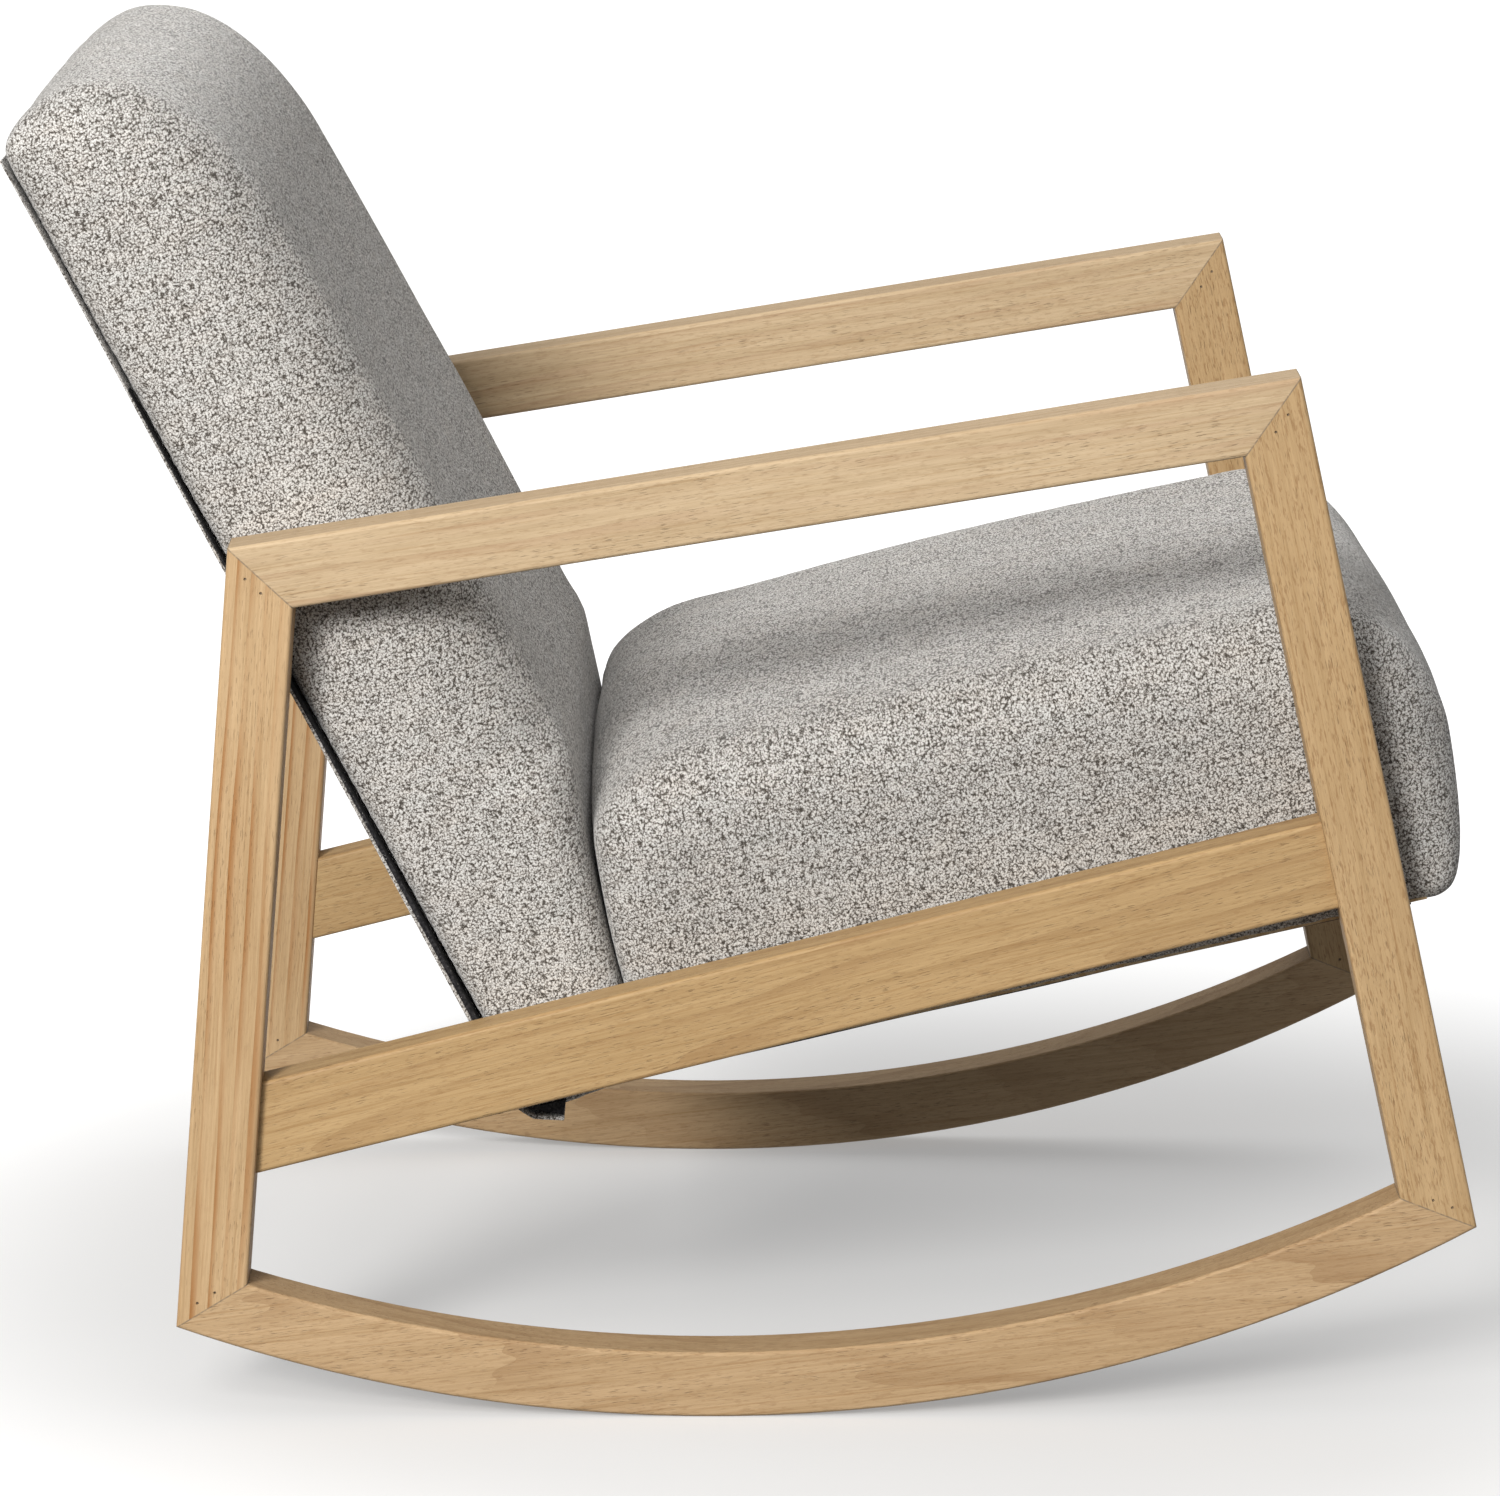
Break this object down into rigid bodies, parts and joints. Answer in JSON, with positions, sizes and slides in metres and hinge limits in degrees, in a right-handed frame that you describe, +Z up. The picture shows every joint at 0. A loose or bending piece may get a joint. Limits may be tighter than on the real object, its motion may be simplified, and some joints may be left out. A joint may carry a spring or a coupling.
{
  "type": "rocking chair",
  "caption": "Rocking chair: mitred timber side frames with curved runners, a box seat and a reclined padded back in tweed fabric.",
  "frame": {"origin": "on the floor, in the middle of the chair's footprint box", "axes": "+Z up; the chair faces -Y; +X is the sitter's left"},
  "size_m": [0.62, 0.8453, 0.7652],
  "materials": {
    "oak": "matt clear lacquer, open straight grain",
    "joinery_wood": "raw beech",
    "frame_wood": "raw sawn softwood",
    "upholstery": "melange tweed weave",
    "foam": "open-cell foam",
    "webbing": "elastic webbing",
    "dust_cloth": "non-woven cloth",
    "closure_tape": "woven tape",
    "steel_fasteners": "zinc plated",
    "brass_inserts": "plain"
  },
  "bodies": {
    "root": {"back_bolts": "steel_fasteners", "back_bottom_rail": "frame_wood", "back_closure_tape": "closure_tape", "back_cover": "upholstery", "back_foam": "foam", "back_inserts": "brass_inserts", "back_left_stile": "frame_wood", "back_middle_rail": "frame_wood", "back_rear_panel": "upholstery", "back_right_stile": "frame_wood", "back_top_rail": "frame_wood", "back_washers": "steel_fasteners", "back_webbing": "webbing", "left_arm": "oak", "left_brads": "steel_fasteners", "left_front_leg": "oak", "left_mitre_keys": "joinery_wood", "left_rail_dowels": "joinery_wood", "left_rear_post": "oak", "left_rocker": "oak", "left_seat_rail": "oak", "right_arm": "oak", "right_brads": "steel_fasteners", "right_front_leg": "oak", "right_mitre_keys": "joinery_wood", "right_rail_dowels": "joinery_wood", "right_rear_post": "oak", "right_rocker": "oak", "right_seat_rail": "oak", "seat_bolts": "steel_fasteners", "seat_corner_blocks": "frame_wood", "seat_cover": "upholstery", "seat_dust_cover": "dust_cloth", "seat_foam": "foam", "seat_front_board": "frame_wood", "seat_inserts": "brass_inserts", "seat_left_board": "frame_wood", "seat_rear_board": "frame_wood", "seat_right_board": "frame_wood", "seat_washers": "steel_fasteners", "seat_webbing": "webbing"}
  },
  "joints": []
}
